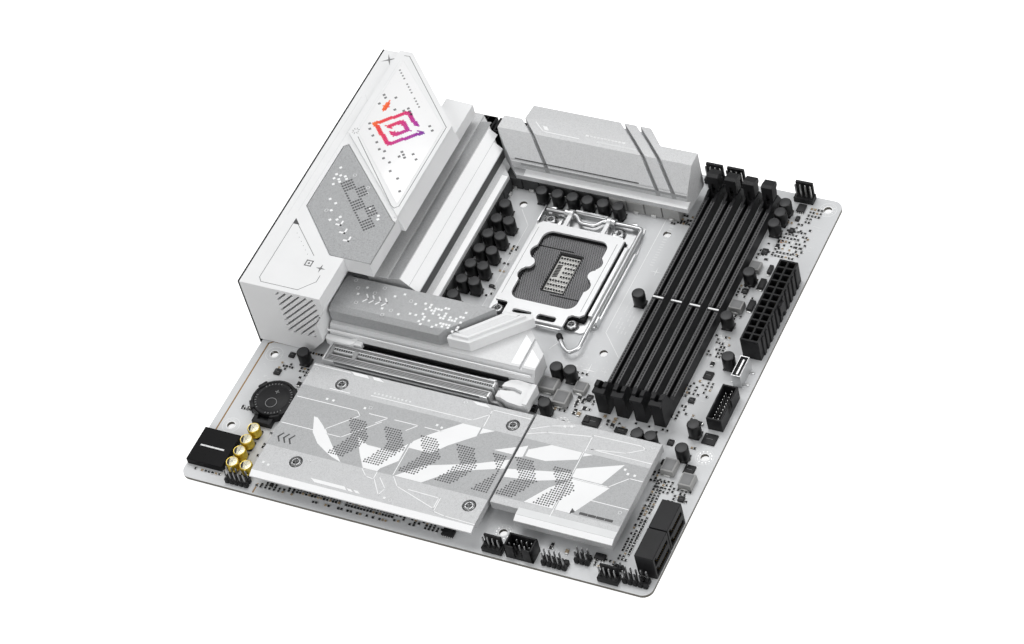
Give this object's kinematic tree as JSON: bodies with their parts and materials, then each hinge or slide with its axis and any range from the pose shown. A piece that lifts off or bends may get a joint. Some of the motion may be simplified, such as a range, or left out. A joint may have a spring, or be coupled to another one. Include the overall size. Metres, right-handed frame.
{
  "type": "computer motherboard",
  "caption": "Square computer motherboard with processor socket, latched memory slots, expansion slot, metal coolers and a covered block of rear connectors.",
  "frame": {"origin": "centre of the bottom of the bounding box, which is the middle of the board's area at the underside of the processor backplate", "axes": "+Z out of the component side, +X from the rear connector edge towards the front edge, +Y from the bottom edge towards the top edge"},
  "size_m": [0.2468, 0.2476, 0.0485],
  "materials": {
    "board": "satin solder mask, silver grey",
    "white_plastic": "satin",
    "silver_aluminium": "fine blasted, silver anodised",
    "bright_steel": "plated",
    "black_plastic": "moulded",
    "grey_plastic": "satin",
    "gold_metal": "plated"
  },
  "bodies": {
    "root": {"pcb": "board", "socket_frame": "bright_steel", "socket_screw_1": "bright_steel", "socket_screw_2": "bright_steel", "socket_screw_3": "bright_steel", "socket_screw_4": "bright_steel", "pcie_slot_shell": "bright_steel", "m2_screw_1": "bright_steel", "m2_screw_2": "bright_steel", "m2_screw_3": "bright_steel", "m2_screw_4": "bright_steel", "coin_cell": "bright_steel", "audio_chip_shield": "bright_steel", "usb_c_header": "bright_steel", "audio_jack_block": "bright_steel", "usb_stack_1": "bright_steel", "usb_stack_2": "bright_steel", "lan_usb_block": "bright_steel", "video_port_block": "bright_steel", "antenna_block": "bright_steel", "socket_backplate": "bright_steel", "socket_contact_body": "black_plastic", "dimm_slot_1": "black_plastic", "dimm_slot_2": "black_plastic", "dimm_slot_3": "black_plastic", "dimm_slot_4": "black_plastic", "m2_upper_socket": "black_plastic", "m2_lower_socket": "black_plastic", "chipset_package": "black_plastic", "io_shield": "black_plastic", "atx_power_socket": "black_plastic", "eps_power_socket_1": "black_plastic", "eps_power_socket_2": "black_plastic", "usb3_header": "black_plastic", "sata_stack_1": "black_plastic", "sata_stack_2": "black_plastic", "fan_header_1": "black_plastic", "fan_header_2": "black_plastic", "fan_header_3": "black_plastic", "battery_holder": "black_plastic", "m2_release_handle": "white_plastic", "io_shroud": "white_plastic", "shroud_light_panel": "white_plastic", "m2_upper_carrier": "silver_aluminium", "m2_upper_heatsink": "silver_aluminium", "m2_lower_heatsink": "silver_aluminium", "chipset_heatsink": "silver_aluminium", "vrm_heatsink_side": "silver_aluminium", "vrm_heatsink_top": "silver_aluminium", "pcie_slot_body": "grey_plastic", "shroud_insert": "grey_plastic"},
    "socket_load_plate": {"socket_load_plate": "bright_steel"},
    "socket_load_lever": {"socket_load_lever": "bright_steel"},
    "dimm_latch_1": {"dimm_latch_1": "black_plastic"},
    "dimm_latch_2": {"dimm_latch_2": "black_plastic"},
    "dimm_latch_3": {"dimm_latch_3": "black_plastic"},
    "dimm_latch_4": {"dimm_latch_4": "black_plastic"},
    "pcie_latch": {"pcie_latch": "white_plastic"},
    "firmware_button": {"firmware_button": "grey_plastic"},
    "reset_settings_button": {"reset_settings_button": "grey_plastic"}
  },
  "joints": [
    {"name": "load_lever_hinge", "type": "hinge", "parent": "root", "child": "socket_load_lever", "pos_m": [0.00758, 0.0757, 0.0074], "axis": [-1, 0, 0], "range_deg": [0, 115]},
    {"name": "load_plate_hinge", "type": "hinge", "parent": "root", "child": "socket_load_plate", "pos_m": [0.00758, 0.0757, 0.0074], "axis": [-1, 0, 0], "range_deg": [0, 98]},
    {"name": "dimm_latch_hinge_1", "type": "hinge", "parent": "root", "child": "dimm_latch_1", "pos_m": [0.06178, 0.1077, 0.0068], "axis": [-1, 0, 0], "range_deg": [0, 20]},
    {"name": "dimm_latch_hinge_2", "type": "hinge", "parent": "root", "child": "dimm_latch_2", "pos_m": [0.07128, 0.1077, 0.0068], "axis": [-1, 0, 0], "range_deg": [0, 20]},
    {"name": "dimm_latch_hinge_3", "type": "hinge", "parent": "root", "child": "dimm_latch_3", "pos_m": [0.08078, 0.1077, 0.0068], "axis": [-1, 0, 0], "range_deg": [0, 20]},
    {"name": "dimm_latch_hinge_4", "type": "hinge", "parent": "root", "child": "dimm_latch_4", "pos_m": [0.09028, 0.1077, 0.0068], "axis": [-1, 0, 0], "range_deg": [0, 20]},
    {"name": "pcie_latch_hinge", "type": "hinge", "parent": "root", "child": "pcie_latch", "pos_m": [0.01318, -0.0421, 0.0072], "axis": [0, 1, 0], "range_deg": [0, 12]},
    {"name": "firmware_button_slide", "type": "slide", "parent": "root", "child": "firmware_button", "axis": [1, 0, 0], "range_m": [0, 0.0008]},
    {"name": "reset_settings_button_slide", "type": "slide", "parent": "root", "child": "reset_settings_button", "axis": [1, 0, 0], "range_m": [0, 0.0008]}
  ],
  "couplings": [
    {"joint": "load_plate_hinge", "follows": "load_lever_hinge", "ratio": 0.85}
  ]
}
